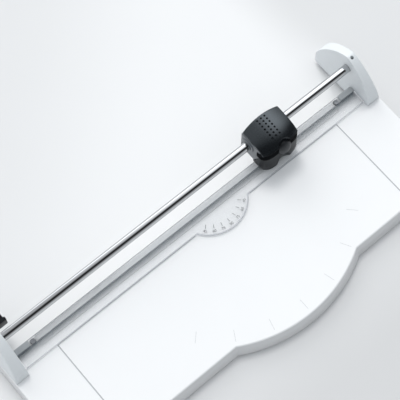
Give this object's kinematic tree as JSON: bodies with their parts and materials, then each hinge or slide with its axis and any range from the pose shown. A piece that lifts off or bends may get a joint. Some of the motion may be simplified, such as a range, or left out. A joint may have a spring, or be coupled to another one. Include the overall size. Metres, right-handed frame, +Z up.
{
  "type": "rotary paper trimmer",
  "caption": "Table trimmer with a steel rail, a sliding round-blade head, and a clear sprung paper clamp with a protractor tongue.",
  "frame": {"origin": "bottom centre of the bounding box, on the ground under the feet", "axes": "+X along the rail to the right end, +Y from the front of the table to the rail, +Z up"},
  "size_m": [0.44, 0.1968, 0.066],
  "materials": {
    "table_white": "fine matt moulding",
    "bracket_grey": "satin moulding",
    "head_black": "satin gloss moulding",
    "clamp_clear": "clear acrylic",
    "rail_chrome": "polished",
    "edge_steel": "ground",
    "screw_steel": "blackened",
    "foot_rubber": "matt",
    "bush_nylon": "plain"
  },
  "bodies": {
    "base": {"base_table": "table_white", "counter_blade": "edge_steel", "left_counter_blade_screw": "screw_steel", "middle_counter_blade_screw": "screw_steel", "right_counter_blade_screw": "screw_steel", "left_bracket": "bracket_grey", "right_bracket": "bracket_grey", "left_bracket_screw_front": "screw_steel", "left_bracket_screw_rear": "screw_steel", "right_bracket_screw_front": "screw_steel", "right_bracket_screw_rear": "screw_steel", "rail_rod": "rail_chrome", "left_set_screw": "screw_steel", "right_set_screw": "screw_steel", "left_end_catch": "head_black", "left_clamp_screw": "screw_steel", "right_clamp_screw": "screw_steel", "left_clamp_spring": "screw_steel", "right_clamp_spring": "screw_steel", "foot_front_left": "foot_rubber", "foot_front_right": "foot_rubber", "foot_front_middle": "foot_rubber", "foot_rear_left": "foot_rubber", "foot_rear_right": "foot_rubber"},
    "clamp": {"clamp_strip": "clamp_clear", "left_clamp_pad": "bracket_grey", "right_clamp_pad": "bracket_grey"},
    "head": {"head_carriage": "bracket_grey", "head_cap": "head_black", "blade_housing": "head_black", "hub_cap": "head_black", "left_bush": "bush_nylon", "right_bush": "bush_nylon", "blade_axle": "edge_steel", "blade_nut": "screw_steel", "blade_spring": "screw_steel", "left_housing_screw": "screw_steel", "right_housing_screw": "screw_steel", "left_roller_pin": "edge_steel", "right_roller_pin": "edge_steel"},
    "blade": {"rotary_blade": "edge_steel", "blade_hub": "bush_nylon"},
    "left_roller_body": {"left_roller": "foot_rubber"},
    "right_roller_body": {"right_roller": "foot_rubber"}
  },
  "joints": [
    {"name": "head_slide", "type": "slide", "parent": "base", "child": "head", "axis": [1, 0, 0], "range_m": [-0.271, 0.069]},
    {"name": "clamp_press", "type": "slide", "parent": "base", "child": "clamp", "axis": [0, 0, 1], "range_m": [-0.0008, 0], "stiffness_N_per_m": 400, "springref_m": 0.003, "deforming": ["left_clamp_spring", "right_clamp_spring"]},
    {"name": "blade_spin", "type": "hinge", "parent": "head", "child": "blade", "pos_m": [0.101, 0.0504, 0.036], "axis": [0, 1, 0], "continuous": true},
    {"name": "left_roller_spin", "type": "hinge", "parent": "head", "child": "left_roller_body", "pos_m": [0.09, 0.0504, 0.0247], "axis": [0, 1, 0], "continuous": true},
    {"name": "right_roller_spin", "type": "hinge", "parent": "head", "child": "right_roller_body", "pos_m": [0.112, 0.0504, 0.0247], "axis": [0, 1, 0], "continuous": true}
  ],
  "couplings": [
    {"joint": "blade_spin", "follows": "head_slide", "rad_per_m": 51.282}
  ]
}
